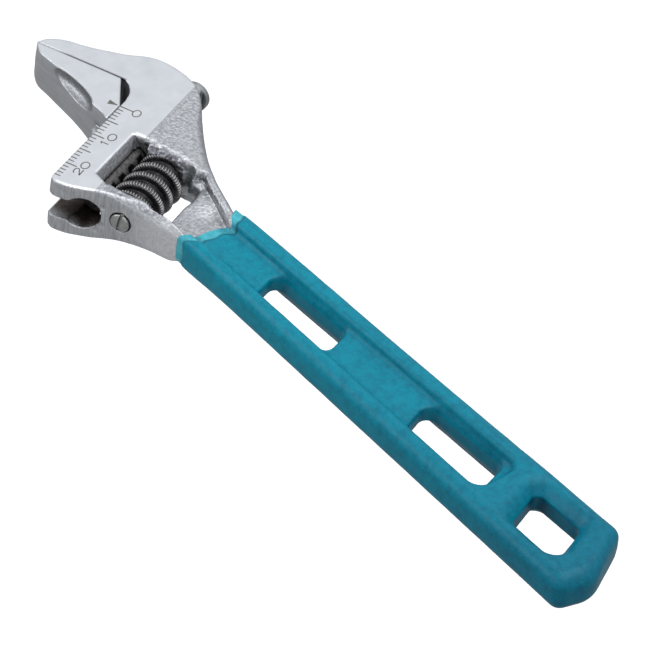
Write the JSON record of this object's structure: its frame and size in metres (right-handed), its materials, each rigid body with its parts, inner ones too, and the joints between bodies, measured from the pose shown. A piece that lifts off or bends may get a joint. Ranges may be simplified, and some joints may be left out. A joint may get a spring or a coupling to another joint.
{
  "type": "adjustable wrench",
  "caption": "Open-ended adjustable wrench with a screw-driven sliding jaw, slotted I-section handle, dipped vinyl grip and a hang hole.",
  "frame": {"origin": "centre of the bounding box at its lowest face, the back face of the head", "axes": "+X along the handle from the jaws to the hang hole, +Z out of the face with the scale"},
  "size_m": [0.1662, 0.0445, 0.0116],
  "materials": {
    "forged_steel": "satin plated, faces of the head ground smooth, neck forged",
    "jaw_steel": "satin plated",
    "dark_steel": "dark oxide, knurled",
    "screw_steel": "dull",
    "vinyl_grip": "satin dip coat"
  },
  "bodies": {
    "frame": {"frame_body": "forged_steel", "handle_grip": "vinyl_grip", "worm_axle_screw": "screw_steel", "worm_spring": "screw_steel"},
    "jaw": {"movable_jaw": "jaw_steel"},
    "worm": {"worm": "dark_steel"}
  },
  "joints": [
    {"name": "jaw_slide", "type": "slide", "parent": "frame", "child": "jaw", "axis": [0.3665, -0.9304, 0], "range_m": [0, 0.024]},
    {"name": "worm_turn", "type": "hinge", "parent": "frame", "child": "worm", "pos_m": [-0.0407, -0.00644, 0.0058], "axis": [-0.3665, 0.9304, 0], "range_deg": [0, 2619]}
  ],
  "couplings": [
    {"joint": "worm_turn", "follows": "jaw_slide", "rad_per_m": 1904}
  ]
}
